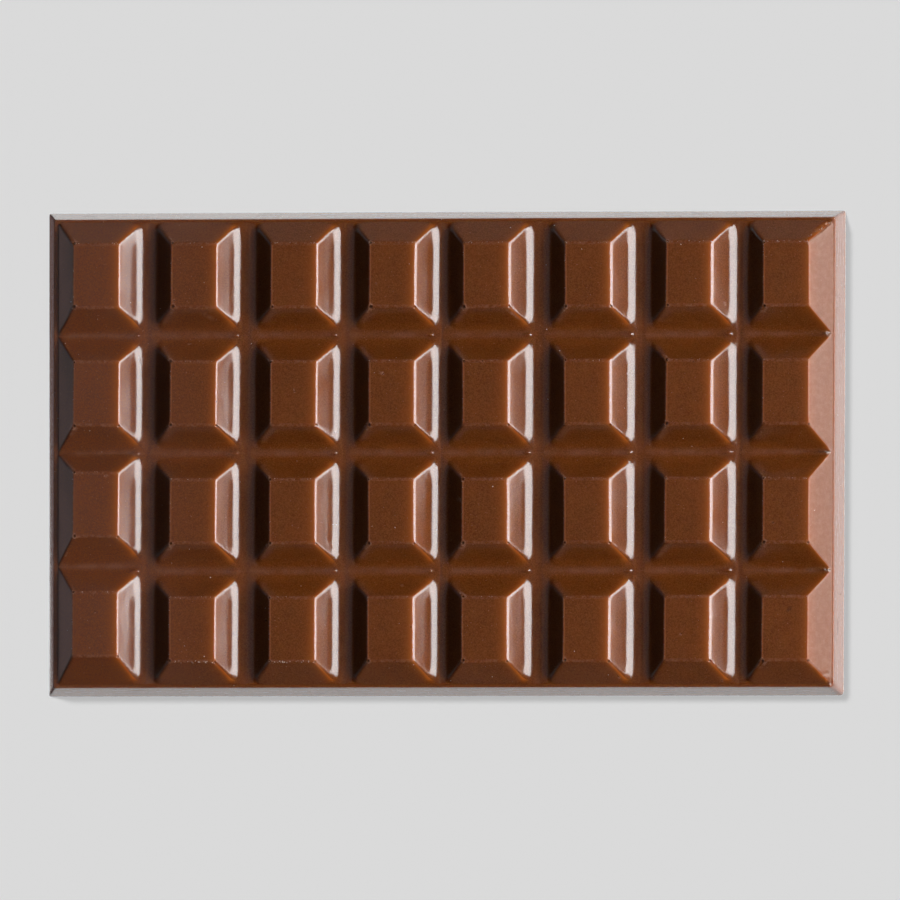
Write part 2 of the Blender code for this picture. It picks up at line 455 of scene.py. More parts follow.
# From the slopes' feet over the shoulder, down the wall and under: (left x, right x, side y,
# height) for each ring
def slabRings():
    rings = []
    draft, height, edge = tablet["wallDraft"], tablet["slabHeight"], tablet["edgeRadius"]
    flanks = (
        outerFlank(leftFoot + tablet["leftSlope"], leftFoot, tablet["sharpRim"]),
        outerFlank(rightFoot - tablet["rightSlope"], rightFoot, tablet["sharpRim"]),
        outerFlank(farFoot - tablet["sideSlope"], farFoot, tablet["sideRim"]),
    )
    for step in (0.3, 0.65, 1.0):
        depth = tablet["columnGroove"] + (blockHeight - tablet["columnGroove"]) * step
        rings.append((*[placeOnFlank(flank, depth) for flank in flanks], barHeight - depth))

    def wallRing(inset, level):
        rings.append((inset - barLength / 2, barLength / 2 - inset, barWidth / 2 - inset, level))

    wallAngle = math.atan2(height, draft)
    tangent = edge * math.tan(wallAngle / 2)
    for i in range(5):
        angle = wallAngle * i / 4
        wallRing(draft + tangent - edge * math.sin(angle), height - edge * (1 - math.cos(angle)))
    for share in (0.25, 0.45, 0.65, 0.85, 0.95):
        wallRing(draft * (1 - share), height * (1 - share))
    wallRing(0.03, 0.06)
    wallRing(0.16, 0.0)
    wallRing(0.6, 0.0)
    return rings


def addSlab(shape, layers, topRing):
    cornerRadius, softRadius = tablet["hipRadius"][0], 0.9  # the near right corner is worn
    previous = topRing
    rings = slabRings()
    for index, (leftX, rightX, y, height) in enumerate(rings):
        onWall = index > 2
        radii = [cornerRadius, softRadius if onWall else cornerRadius,
                 cornerRadius if onWall else tablet["wornHip"], cornerRadius]
        points = perimeterPoints(leftX, rightX, y, height, radii)
        verts = [shape.verts.new(point) for point in points]
        # a pale line along the slab's edge: scuffs, and a painted highlight
        if index == 4:
            for vert in verts:
                vert[layers["rim"]] = 0.6
        if index < 7:
            for vert in verts:
                atRight = vert.co.x > rightFoot - 0.2
                # painted glow on the shoulder and wall top, strongest at the right end
                vert[layers["paintedGlow"]] = 0.45 if atRight else 0.10
                # the right end's shoulder: rougher, and painted paler as if lit
                vert[layers["dull"]] = 1.0 if atRight else 0.0
        count = len(verts)
        slot = 0 if index < 6 else 1 if index < len(rings) - 2 else 2
        for i in range(count):
            k = (i + 1) % count
            shape.faces.new((previous[i], verts[i], verts[k], previous[k])).material_index = slot
        previous = verts

    # the underside, a grid inside the last ring
    across = tablet["acrossSegments"] * tablet["columns"]
    along = tablet["alongSegments"] * tablet["rows"]
    grid = [[None] * (along + 1) for _ in range(across + 1)]
    for i in range(across + 1):
        grid[i][0] = previous[i]
        grid[i][along] = previous[2 * across + along - i]
    for j in range(along + 1):
        grid[across][j] = previous[across + j]
        grid[0][j] = previous[-j]
    for i in range(1, across):
        for j in range(1, along):
            share = j / along
            x = grid[i][0].co.x * (1 - share) + grid[i][along].co.x * share
            shareX = i / across
            y = grid[0][j].co.y * (1 - shareX) + grid[across][j].co.y * shareX
            grid[i][j] = shape.verts.new((x, y, 0.0))
    for i in range(across):
        for j in range(along):
            face = shape.faces.new((grid[i][j], grid[i][j + 1], grid[i + 1][j + 1], grid[i + 1][j]))
            face.material_index = 2


# The cast chocolate isn't as true as its mould
def waver(shape):
    spread = unevenness
    for vert in shape.verts:
        p = vert.co.copy()
        rise = p.z / barHeight
        wave = noise.noise(p / spread["waveLength"]) * spread["wave"]
        ripple = noise.noise(p / spread["rippleLength"] + Vector((31, 7, 3))) * spread["ripple"]
        swayX = noise.noise(p / spread["swayLength"] + Vector((5, 50, 9)))
        swayY = noise.noise(p / spread["swayLength"] + Vector((80, 2, 40)))
        lean = max(0.0, min(1.0, (-66.0 - p.x) / 6.0)) * tablet["leftLean"]
        vert.co.x += lean * (0.5 - p.y / barWidth)
        if p.z > 0.01:
            vert.co.x += swayX * spread["sway"] * rise
            vert.co.y += swayY * spread["sway"] * rise
            vert.co.z += (wave + ripple) * min(1.0, rise * 1.6) - spread["wave"] * 0.5 * rise
        else:
            level = noise.noise(p / 11.0) * 0.5 + noise.noise(p / 3.5) * 0.2 + 0.35
            margin = min(barLength / 2 - abs(p.x), barWidth / 2 - abs(p.y))
            vert.co.z += max(0.0, level) * 0.06 * min(1.0, max(0.0, margin - 0.6) / 2.0)


# Popped bubbles, nicks and one chipped corner. Sizes in mm, chances from 0 to 1.
blemishes = {
    "cornerBubble": 0.8,  # at a flat's near left corner
    "farBubble": 0.65,  # at its far left corner
    "cornerNick": 0.75,  # at its near right corner
    "stray": (0, 2),  # small ones anywhere on a block
    "bubbleRadius": (0.19, 0.29),
    "bubbleDepth": 0.15,
    "strayRadius": (0.07, 0.13),
    "nickRadius": 0.22,
    "beadRadius": 0.32,  # where a row groove runs out
    "beadHeight": 0.26,
    "beadLength": 1.7,  # how much longer than wide
    "tipRadius": 0.50,  # where one runs out at the right end
    "tipHeight": 0.42,
    "tipLength": 2.2,
    "chipRadius": 0.7,
    "chipDepth": 0.14,
    "seed": 11,
}


def blemishPlan():
    rng = random.Random(blemishes["seed"])
    plan = []
    halfX, halfY = tablet["flatLength"] / 2, tablet["flatWidth"] / 2
    for column in range(tablet["columns"]):
        for row in range(tablet["rows"]):
            centre = Vector((flatCentreX(column), flatCentreY(column, row)))
            nudge = Vector((rng.uniform(-0.15, 0.15), rng.uniform(-0.15, 0.15)))
            if rng.random() < blemishes["cornerBubble"]:
                plan.append(("bubble", centre + Vector((-halfX + 0.15, -halfY + 0.12)) + nudge,
                             rng.uniform(*blemishes["bubbleRadius"])))
            if rng.random() < blemishes["farBubble"]:
                plan.append(("bubble", centre + Vector((-halfX + 0.1, halfY - 0.05)) + nudge,
                             rng.uniform(*blemishes["bubbleRadius"]) * 0.75))
            if rng.random() < blemishes["cornerNick"]:
                plan.append(("nick", centre + Vector((halfX + 0.02, -halfY - 0.02)) - nudge * 0.5,
                             blemishes["nickRadius"] * rng.uniform(0.8, 1.15)))
            for _ in range(rng.randint(*blemishes["stray"])):
                spot = Vector((rng.uniform(-1.6, 1.8) * halfX, rng.uniform(-1.6, 1.6) * halfY))
                plan.append(("bubble", centre + spot, rng.uniform(*blemishes["strayRadius"])))
    for row in range(tablet["rows"] - 1):
        for column in range(tablet["columns"] - 1):
            spot = Vector((columnLine(column) - 2.0, rowLine(1, row)))
            plan.append(("bead", spot, blemishes["beadRadius"] * rng.uniform(0.8, 1.1)))
        plan.append(("tip", Vector((rightFoot - 1.6, rowLine(1, row))), blemishes["tipRadius"]))
    chip = Vector((barLength / 2 - 3.4, barWidth / 2 - 3.2))
    for shift in ((0.0, 0.0), (-0.9, -0.8), (0.7, 0.5)):
        plan.append(("chip", chip + Vector(shift), blemishes["chipRadius"] * rng.uniform(0.6, 1.0)))
    crumbled = Vector((barLength / 2 - 2.3, 2.5 - barWidth / 2))
    for shift in ((0.0, 0.0), (0.6, -0.5), (-1.0, 1.1), (-0.3, 1.4)):
        plan.append(("chip", crumbled + Vector(shift), blemishes["chipRadius"] * rng.uniform(0.5, 0.8)))
    return plan


# How far the surface moves at this distance from a blemish's middle, and how dark its pit is painted, as shade
def blemishShape(kind, distance, radius):
    share = distance / radius
    if kind == "bubble":
        pit, ring = math.exp(-share ** 4), math.exp(-((share - 1.7) / 0.5) ** 2)
        depth = blemishes["bubbleDepth"] * radius / blemishes["bubbleRadius"][1]
        return ring * depth * 0.35 - pit * depth, pit, ring
    if kind in ("bead", "tip"):
        return blemishes[kind + "Height"] * math.exp(-share ** 2), 0.0, 0.0
    pit = math.exp(-share ** 4)
    if kind == "nick":
        return -pit * 0.13, pit * 0.8, 0.4 * math.exp(-((share - 1.5) / 0.4) ** 2)
    return -pit * blemishes["chipDepth"], 0.0, 0.25 * pit


# From a blemish's middle to a point, drawn out along X where a groove runs out
def blemishArm(kind, spot, point):
    arm = point.xy - spot
    if kind in ("bead", "tip"):
        arm.x /= blemishes[kind + "Length"] * (2.0 if arm.x < 0 else 1.0)
    return arm


def markBlemishes(shape, layers):
    plan = blemishPlan()
    chosen = set()
    for face in shape.faces:
        middle = face.calc_center_median()
        if middle.z < tablet["slabHeight"] * 0.9:
            continue
        if face.calc_area() < 0.03:
            continue
        for kind, spot, radius in plan:
            if blemishArm(kind, spot, middle).length < radius * 2 + 0.15:
                chosen.add(face)
                break
    edges = {edge for face in chosen for edge in face.edges}
    bmesh.ops.subdivide_edges(shape, edges=list(edges), cuts=2, use_grid_fill=True)
    shape.normal_update()
    moves = []
    for vert in shape.verts:
        if vert.co.z < tablet["slabHeight"] * 0.9:
            continue
        for kind, spot, radius in plan:
            arm = blemishArm(kind, spot, vert.co)
            if arm.length > radius * 3:
                continue
            ragged = 1 + 0.22 * noise.noise(vert.co * 2.6 + Vector((3, 8, 1)))
            move, pit, ring = blemishShape(kind, arm.length * ragged, radius)
            moves.append((vert, vert.normal * move))
            # pits and nicks are painted dark, as shade
            vert[layers["pit"]] = max(vert[layers["pit"]], pit)
            # pale rings round bubbles and nicks and pale chips: scuffs, partly a painted highlight
            vert[layers["rim"]] = max(vert[layers["rim"]] * (1 - pit), ring * 3.0)
    for vert, move in moves:
        vert.co += move
    return len(plan)


def buildTablet():
    shape = bmesh.new()
    layers = {
        "rim": shape.verts.layers.float.new("rimWear"),
        "groove": shape.verts.layers.float.new("grooveWear"),
        "pit": shape.verts.layers.float.new("pitted"),
        "paintedGlow": shape.verts.layers.float.new("warmEdge"),
        "dull": shape.verts.layers.float.new("dullEnd"),
    }
    columns, rows = range(tablet["columns"]), range(tablet["rows"])
    edges = {(column, row): addBlock(shape, layers, column, row) for column in columns for row in rows}
    topRing = []
    for column in columns:
        topRing += edges[column, 0]["near"]
    for row in rows:
        topRing += edges[columns[-1], row]["right"]
    for column in reversed(columns):
        topRing += edges[column, rows[-1]]["far"]
    for row in reversed(rows):
        topRing += edges[0, row]["left"]
    addSlab(shape, layers, topRing)
    bmesh.ops.remove_doubles(shape, verts=shape.verts, dist=0.002)
    count = markBlemishes(shape, layers)
    print("blemishes marked:", count)
    waver(shape)
    bmesh.ops.scale(shape, vec=(mm, mm, mm), verts=shape.verts)
    for face in shape.faces:
        face.smooth = True
    mesh = bpy.data.meshes.new("chocolateTablet")
    shape.to_mesh(mesh)
    shape.free()
    piece = bpy.data.objects.new("chocolateTablet", mesh)
    bpy.context.scene.collection.objects.link(piece)
    return piece


tabletPiece = buildTablet()
tabletPiece.data.calc_loop_triangles()
print("tablet built:", len(tabletPiece.data.loop_triangles), "triangles")


# ---- chocolate ----

# Colours are linear. Lengths in mm.
chocolate = {
    "colour": (0.142, 0.0330, 0.0038),
    "darker": (0.118, 0.0265, 0.0026),
    "patch": (0.100, 0.0225, 0.0022),
    "fleck": (0.190, 0.056, 0.012),
    "pale": (0.40, 0.22, 0.15),
    # painted shade in pits and nicks
    "pitShade": (0.020, 0.006, 0.002),
    "frost": (0.165, 0.055, 0.022),
    # painted glow where light comes through the edges
    "paintedGlow": (0.320, 0.086, 0.012),
    # painted light: the right end, paler where the lamp on the right strikes it
    "paintedLitEnd": (0.220, 0.075, 0.031),
    # greyer towards the left end
    "leftHaze": (0.125, 0.052, 0.038),
    "scatter": (1.0, 0.62, 0.42),
    "scatterScale": 1.2,
    "roughness": (0.13, 0.20),
    "index": 1.45,
}


def newMaterial(name):
    material = bpy.data.materials.new(name)
    material.use_nodes = True
    nodes, links = material.node_tree.nodes, material.node_tree.links
    shader = nodes["Principled BSDF"]
    place = nodes.new("ShaderNodeTexCoord")
    return material, nodes, links, shader, place.outputs["Object"]


def noiseNode(nodes, links, place, size, detail=3.0, roughness=0.5):
    node = nodes.new("ShaderNodeTexNoise")
    node.inputs["Scale"].default_value = 1 / (size * mm)
    node.inputs["Detail"].default_value = detail
    node.inputs["Roughness"].default_value = roughness
    links.new(place, node.inputs["Vector"])
    return node.outputs["Fac"]


def spread(nodes, links, value, fromLow, fromHigh, toLow, toHigh):
    node = nodes.new("ShaderNodeMapRange")
    for name, number in (("From Min", fromLow), ("From Max", fromHigh), ("To Min", toLow), ("To Max", toHigh)):
        node.inputs[name].default_value = number
    links.new(value, node.inputs["Value"])
    return node.outputs["Result"]


def mixColour(nodes, links, factor, first, second):
    node = nodes.new("ShaderNodeMix")
    node.data_type = "RGBA"
    links.new(factor, node.inputs["Factor"])
    for socket, colour in (("A", first), ("B", second)):
        if isinstance(colour, tuple):
            node.inputs[6 if socket == "A" else 7].default_value = (*colour, 1.0)
        else:
            links.new(colour, node.inputs[6 if socket == "A" else 7])
    return node.outputs[2]


def multiply(nodes, links, first, second):
    node = nodes.new("ShaderNodeMath")
    node.operation = "MULTIPLY"
    links.new(first, node.inputs[0])
    if isinstance(second, float):
        node.inputs[1].default_value = second
    else:
        links.new(second, node.inputs[1])
    return node.outputs[0]


def plus(nodes, links, first, second):
    node = nodes.new("ShaderNodeMath")
    node.operation = "ADD"
    links.new(first, node.inputs[0])
    links.new(second, node.inputs[1])
    return node.outputs[0]


def attribute(nodes, name):
    node = nodes.new("ShaderNodeAttribute")
    node.attribute_name = name
    return node.outputs["Fac"]


def bumpNode(nodes, links, height, distance, strength=1.0, normal=None):
    node = nodes.new("ShaderNodeBump")
    node.inputs["Strength"].default_value = strength
    node.inputs["Distance"].default_value = distance * mm
    links.new(height, node.inputs["Height"])
    if normal:
        links.new(normal, node.inputs["Normal"])
    return node.outputs["Normal"]


def setScatter(shader):
    shader.inputs["Subsurface Weight"].default_value = 1.0
    shader.inputs["Subsurface Radius"].default_value = chocolate["scatter"]
    shader.inputs["Subsurface Scale"].default_value = chocolate["scatterScale"] * mm
    shader.inputs["IOR"].default_value = chocolate["index"]


# Where it touched the mould: glossy and slightly clouded, with scuffed rims that also carry a painted highlight, a
# pale line down each groove that is wear and painted sheen, a painted glow at the edges facing the light, the right
# end painted paler as if lit, and pits painted dark as shade
def mouldedChocolate():
    material, nodes, links, shader, place = newMaterial("mouldedChocolate")
    setScatter(shader)
    clouds = spread(nodes, links, noiseNode(nodes, links, place, 9.0, 4.0), 0.35, 0.65, 0.0, 1.0)
    base = mixColour(nodes, links, clouds, chocolate["colour"], chocolate["darker"])
    patches = spread(nodes, links, noiseNode(nodes, links, place, 2.4, 4.0, 0.6), 0.36, 0.64, 0.0, 0.75)
    base = mixColour(nodes, links, patches, base, chocolate["patch"])
    # right end: rougher, and painted paler as if lit, with pale blotches
    dull = attribute(nodes, "dullEnd")
    base = mixColour(nodes, links, multiply(nodes, links, dull, 0.85), base, chocolate["paintedLitEnd"])
    # greyer and a little rougher towards the left end
    split = nodes.new("ShaderNodeSeparateXYZ")
    links.new(place, split.inputs["Vector"])
    leftHaze = spread(nodes, links, split.outputs["X"], -0.060, -0.036, 0.42, 0.0)
    base = mixColour(nodes, links, leftHaze, base, chocolate["leftHaze"])
    mottle = spread(nodes, links, noiseNode(nodes, links, place, 0.26, 3.0, 0.7), 0.38, 0.62, 0.0, 1.0)
    base = mixColour(nodes, links, multiply(nodes, links, mottle, 0.75), base, chocolate["fleck"])
    # painted glow of light coming through the edges that face it
    base = mixColour(nodes, links, attribute(nodes, "warmEdge"), base, chocolate["paintedGlow"])
    blotches = spread(nodes, links, noiseNode(nodes, links, place, 1.1, 4.0, 0.65), 0.42, 0.66, 0.0, 0.13)
    base = mixColour(nodes, links, multiply(nodes, links, dull, blotches), base, chocolate["pale"])
    dots = spread(nodes, links, noiseNode(nodes, links, place, 0.34, 1.0), 0.72, 0.80, 0.0, 0.25)
    base = mixColour(nodes, links, dots, base, chocolate["pale"])
    # rims: pale scuffs, partly a painted highlight
    grain = spread(nodes, links, noiseNode(nodes, links, place, 0.70, 3.0, 0.7), 0.42, 0.66, 0.1, 1.0)
    rim = multiply(nodes, links, attribute(nodes, "rimWear"), grain)
    base = mixColour(nodes, links, multiply(nodes, links, rim, 0.24), base, chocolate["pale"])
    # groove middles: pale wear and a painted sheen
    patchy = spread(nodes, links, noiseNode(nodes, links, place, 4.0, 4.0, 0.6), 0.40, 0.60, 0.15, 1.0)
    worn = multiply(nodes, links, attribute(nodes, "grooveWear"), patchy)
    base = mixColour(nodes, links, multiply(nodes, links, worn, 0.11), base, chocolate["pale"])
    # painted shade: pits and nicks darkened
    pitted = attribute(nodes, "pitted")
    base = mixColour(nodes, links, multiply(nodes, links, pitted, 0.85), base, chocolate["pitShade"])
    links.new(base, shader.inputs["Base Color"])
    smears = noiseNode(nodes, links, place, 5.0, 5.0, 0.6)
    low, high = chocolate["roughness"]
    smooth = spread(nodes, links, smears, 0.3, 0.7, low, high)
    smooth = plus(nodes, links, smooth, multiply(nodes, links, leftHaze, 0.06))
    links.new(plus(nodes, links, smooth, multiply(nodes, links, dull, 0.24)), shader.inputs["Roughness"])
    links.new(spread(nodes, links, dull, 0.0, 1.0, 0.50, 0.34), shader.inputs["Specular IOR Level"])
    skin = bumpNode(nodes, links, noiseNode(nodes, links, place, 0.9, 2.0), 0.010)
    fine = bumpNode(nodes, links, noiseNode(nodes, links, place, 0.30, 3.0, 0.6), 0.004, 1.0, skin)
    links.new(fine, shader.inputs["Normal"])
    return material


# The slab's sides: drier, with a fine frosted grain
def sideChocolate():
    material, nodes, links, shader, place = newMaterial("sideChocolate")
    setScatter(shader)
    grain = spread(nodes, links, noiseNode(nodes, links, place, 0.30, 4.0, 0.7), 0.35, 0.65, 0.0, 1.0)
    base = mixColour(nodes, links, grain, chocolate["colour"], chocolate["frost"])
    # painted glow at the top of the walls, strongest at the right end
    glow = multiply(nodes, links, attribute(nodes, "warmEdge"), 0.75)
    base = mixColour(nodes, links, glow, base, chocolate["paintedGlow"])
    stretch = nodes.new("ShaderNodeMapping")
    stretch.inputs["Scale"].default_value = (0.12, 0.12, 1.6)
    links.new(place, stretch.inputs["Vector"])
    along = stretch.outputs["Vector"]
    scrapes = spread(nodes, links, noiseNode(nodes, links, along, 0.6, 3.0, 0.6), 0.58, 0.72, 0.0, 0.7)
    links.new(mixColour(nodes, links, scrapes, base, chocolate["darker"]), shader.inputs["Base Color"])
    links.new(spread(nodes, links, scrapes, 0.0, 0.7, 0.24, 0.50), shader.inputs["Roughness"])
    lines = bumpNode(nodes, links, noiseNode(nodes, links, along, 0.5, 3.0), 0.015)
    fine = bumpNode(nodes, links, noiseNode(nodes, links, place, 0.22, 3.0, 0.6), 0.010, 1.0, lines)
    links.new(fine, shader.inputs["Normal"])
    return material


# The poured back: satin, with flow marks
def pouredChocolate():
    material, nodes, links, shader, place = newMaterial("pouredChocolate")
    setScatter(shader)
    clouds = spread(nodes, links, noiseNode(nodes, links, place, 14.0, 4.0), 0.35, 0.65, 0.0, 1.0)
    links.new(mixColour(nodes, links, clouds, chocolate["colour"], (0.155, 0.044, 0.013)), shader.inputs["Base Color"])
    links.new(
        spread(nodes, links, noiseNode(nodes, links, place, 6.0, 4.0), 0.3, 0.7, 0.34, 0.48),
        shader.inputs["Roughness"],
    )
    waves = bumpNode(nodes, links, noiseNode(nodes, links, place, 4.0, 3.0), 0.10)
    links.new(
        bumpNode(nodes, links, noiseNode(nodes, links, place, 0.5, 3.0), 0.012, 1.0, waves),
        shader.inputs["Normal"],
    )
    return material


for material in (mouldedChocolate(), sideChocolate(), pouredChocolate()):
    tabletPiece.data.materials.append(material)
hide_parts("chocolate_bar")
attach(tabletPiece, "root")
print("chocolate mixed")


# ---- crumbs ----

# Loose specks of chocolate on the tablet, their pale colour partly painted glints. Sizes in mm, counts for each block.
crumbs = {
    "loose": (1, 4),
    "looseSize": (0.045, 0.10),
    "rim": (3, 9),  # along a flat's far rim
    "topRim": (14, 26),  # and along those of the farthest row
    "leftRim": (4, 10),
    "rimSize": (0.03, 0.075),
    "wallCount": 90,
    "chipCount": 9,
    "crumblyRims": ((1, 0), (2, 0)),  # blocks whose near rims broke, as (column, row)
    # pale: crumb dust, and in part painted glints
    "colour": (0.50, 0.36, 0.27),
    "darkColour": (0.16, 0.06, 0.03),
    "sink": 0.45,
    "seed": 23,
}


def crumbSpots(rng):
    halfX, halfY = tablet["flatLength"] / 2, tablet["flatWidth"] / 2
    spots = []  # (x, y, size)
    for column in range(tablet["columns"]):
        for row in range(tablet["rows"]):
            x, y = flatCentreX(column), flatCentreY(column, row)
            for _ in range(rng.randint(*crumbs["loose"])):
                spots.append((x + rng.uniform(-2, 2) * halfX, y + rng.uniform(-1.7, 1.7) * halfY,
                              rng.uniform(*crumbs["looseSize"])))
            rimCount = crumbs["topRim"] if row == tablet["rows"] - 1 else crumbs["rim"]
            for _ in range(rng.randint(*rimCount)):
                along = rng.choice((-1, 1)) * (1 - rng.random() ** 1.5)
                spots.append((x + along * halfX, y + halfY + rng.gauss(0.0, 0.07),
                              rng.uniform(*crumbs["rimSize"])))
            for _ in range(rng.randint(*crumbs["leftRim"])):
                spots.append((x - halfX + rng.gauss(0.0, 0.06), y + rng.uniform(-1, 1) * halfY,
                              rng.uniform(*crumbs["rimSize"]) * 0.8))
            if (column, row) in crumbs["crumblyRims"]:
                for _ in range(22):
                    spots.append((x + rng.uniform(-1, 1) * halfX, y - halfY + rng.gauss(0.0, 0.12),
                                  rng.uniform(0.05, 0.13)))
    for _ in range(crumbs["wallCount"]):
        inset = rng.uniform(0.2, 1.9)
        if rng.random() < 0.62:
            side = rng.choice((-1, 1))
            spots.append((rng.uniform(-0.5, 0.5) * barLength, side * (barWidth / 2 - inset), rng.uniform(0.03, 0.07)))
        else:
            side = rng.choice((-1, 1, 1))
            spots.append((side * (barLength / 2 - inset), rng.uniform(-0.5, 0.5) * barWidth, rng.uniform(0.04, 0.10)))
    for _ in range(crumbs["chipCount"]):
        slide = rng.uniform(0.0, 3.6)
        spots.append((barLength / 2 - 2.3 - slide + rng.gauss(0, 0.25),
                      barWidth / 2 - 2.2 - slide + rng.gauss(0, 0.25), rng.uniform(0.08, 0.14)))
    return spots


def crumbMaterial():
    material, nodes, links, shader, place = newMaterial("crumbChocolate")
    tone = spread(nodes, links, noiseNode(nodes, links, place, 1.3, 1.0), 0.40, 0.56, 0.0, 1.0)
    links.new(mixColour(nodes, links, tone, crumbs["darkColour"], crumbs["colour"]), shader.inputs["Base Color"])
    links.new(
        spread(nodes, links, noiseNode(nodes, links, place, 0.1, 2.0), 0.3, 0.7, 0.30, 0.55),
        shader.inputs["Roughness"],
    )
    shader.inputs["IOR"].default_value = chocolate["index"]
    return material


def buildCrumbs():
    rng = random.Random(crumbs["seed"])
    surface = BVHTree.FromObject(tabletPiece, bpy.context.evaluated_depsgraph_get())
    ball = bmesh.new()
    bmesh.ops.create_icosphere(ball, subdivisions=2, radius=1.0)
    ballPoints = [vert.co.copy() for vert in ball.verts]
    ballFaces = [[vert.index for vert in face.verts] for face in ball.faces]
    ball.free()
    points, faces = [], []
    for x, y, size in crumbSpots(rng):
        hit, normal, _, _ = surface.ray_cast(Vector((x, y, 50.0)) * mm, Vector((0, 0, -1)))
        if hit is None:
            continue
        stretch = Vector((rng.uniform(0.7, 1.2), rng.uniform(0.7, 1.2), rng.uniform(0.6, 0.9)))
        turn = Matrix.Rotation(rng.uniform(0, math.tau), 3, Vector((rng.random(), rng.random(), 1)))
        offset = Vector((rng.uniform(0, 90), 0, 0))
        middle = hit + normal * size * mm * (0.6 - crumbs["sink"])
        first = len(points)
        for point in ballPoints:
            rough = 1 + 0.45 * noise.noise(point * 1.4 + offset)
            points.append(middle + turn @ (point * stretch * rough) * size * mm)
        faces += [[first + i for i in face] for face in ballFaces]
    mesh = bpy.data.meshes.new("crumbs")
    mesh.from_pydata(points, [], faces)
    mesh.materials.append(crumbMaterial())
    piece = bpy.data.objects.new("crumbs", mesh)
    bpy.context.scene.collection.objects.link(piece)
    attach(piece, "root")
    return piece


bpy.context.view_layer.update()
crumbPiece = buildCrumbs()
print("crumbs scattered:", len(crumbPiece.data.polygons), "faces")


# ---- studio ----

# Lights shine on one thing at a time, so each is set by what it does there. Radiance in units of
# the white of the picture, angles in degrees, lengths in metres.
studio = {
    "floorColour": (0.80, 0.80, 0.80),
    "floorSize": 3.0,
    "keyWash": {"distance": 2.5, "azimuth": 1.5, "elevation": (18.0, 51.0), "halfWidth": 21.0,
                "radiance": 12.3},
    "lowWash": {"distance": 2.5, "azimuth": 0, "elevation": (2.0, 17.0), "halfWidth": 20.0,
                "radiance": 4.5},
    "keyGloss": {"distance": 0.45, "azimuth": 14, "elevation": (13.8, 64.0), "halfWidth": 22.0,
                 "radiance": 16.0},
    "overhead": {"distance": 2.5, "azimuth": 180, "elevation": (70.0, 105.0), "halfWidth": 25.0,
                 "radiance": 0.15},
    "leftGloss": {"distance": 0.5, "azimuth": 180, "elevation": (20.0, 70.0), "halfWidth": 25.0,
                  "radiance": 0.44, "colour": (1.0, 0.83, 0.84)},
    "floorWash": {"azimuth": 0, "elevation": 90.0, "angle": 0.0, "strength": 1.88},
    "floorSun": {"azimuth": 135, "elevation": 48.0, "angle": 11.0, "strength": 1.17},
    "glow": {"far": 2.35, "near": 2.25, "right": 4.1, "left": (0.42, 1.05), "reach": 0.030,
             "leftColour": (1.0, 0.66, 0.63)},
    "sky": {"overhead": 0.018, "horizon": 0.42},
}


def stagePlane(name, low, high, height):
    bpy.ops.mesh.primitive_plane_add(size=1.0)
    made = bpy.context.active_object
    made.name = name
    made.scale = (high[0] - low[0], high[1] - low[1], 1.0)
    made.location = ((low[0] + high[0]) / 2, (low[1] + high[1]) / 2, height)
    return made


def areaLight(name):
    # azimuth is counter-clockwise from +X
    setting, distance = studio[name], studio[name]["distance"]
    bottom, top = setting["elevation"]
    middle, half = math.radians((bottom + top) / 2), math.radians((top - bottom) / 2)
    turn = math.radians(setting["azimuth"])
    data = bpy.data.lights.new(name, "AREA")
    data.shape = "RECTANGLE"
    data.size = 2 * distance * math.tan(math.radians(setting["halfWidth"]))
    data.size_y = 2 * distance * math.tan(half)
    data.energy = setting["radiance"] * math.pi * data.size * data.size_y
    data.color = setting.get("colour", (1.0, 1.0, 1.0))
    light = bpy.data.objects.new(name, data)
    bpy.context.scene.collection.objects.link(light)
    level = math.cos(middle)
    away = Vector((math.cos(turn) * level, math.sin(turn) * level, math.sin(middle)))
    light.location = away * distance
    light.rotation_mode = "QUATERNION"
    light.rotation_quaternion = away.to_track_quat("Z", "Y")
    light.visible_camera = False
    return light


def sunLight(name):
    setting = studio[name]
    data = bpy.data.lights.new(name, "SUN")
    data.energy = setting["strength"]
    data.angle = math.radians(setting["angle"])
    light = bpy.data.objects.new(name, data)
    bpy.context.scene.collection.objects.link(light)
    turn, rise = math.radians(setting["azimuth"]), math.radians(setting["elevation"])
    away = Vector((math.cos(turn) * math.cos(rise), math.sin(turn) * math.cos(rise), math.sin(rise)))
    light.rotation_mode = "QUATERNION"
    light.rotation_quaternion = away.to_track_quat("Z", "Y")
    return light


def linkTo(light, *lit):
    group = bpy.data.collections.new(light.name + "Lit")
    for item in lit:
        group.objects.link(item)
    light.light_linking.receiver_collection = group


def matteMaterial(name, colour):
    material = bpy.data.materials.new(name)
    material.use_nodes = True
    shader = material.node_tree.nodes["Principled BSDF"]
    shader.inputs["Base Color"].default_value = (*colour, 1.0)
    shader.inputs["Roughness"].default_value = 1.0
    shader.inputs["Specular IOR Level"].default_value = 0.0
    return material


def glowMaterial(name, strength, farStrength=None, colour=(1.0, 1.0, 1.0)):
    # a second strength is the one at the card's left side
    material = bpy.data.materials.new(name)
    material.use_nodes = True
    nodes, links = material.node_tree.nodes, material.node_tree.links
    nodes.clear()
    glow, out = nodes.new("ShaderNodeEmission"), nodes.new("ShaderNodeOutputMaterial")
    glow.inputs["Strength"].default_value = strength
    glow.inputs["Color"].default_value = (*colour, 1.0)
    if farStrength is not None:
        place, split = nodes.new("ShaderNodeTexCoord"), nodes.new("ShaderNodeSeparateXYZ")
        links.new(place.outputs["Object"], split.inputs["Vector"])
        fade = spread(nodes, links, split.outputs["X"], 0.35, 0.0, strength, farStrength)
        links.new(fade, glow.inputs["Strength"])
    links.new(glow.outputs["Emission"], out.inputs["Surface"])
    return material


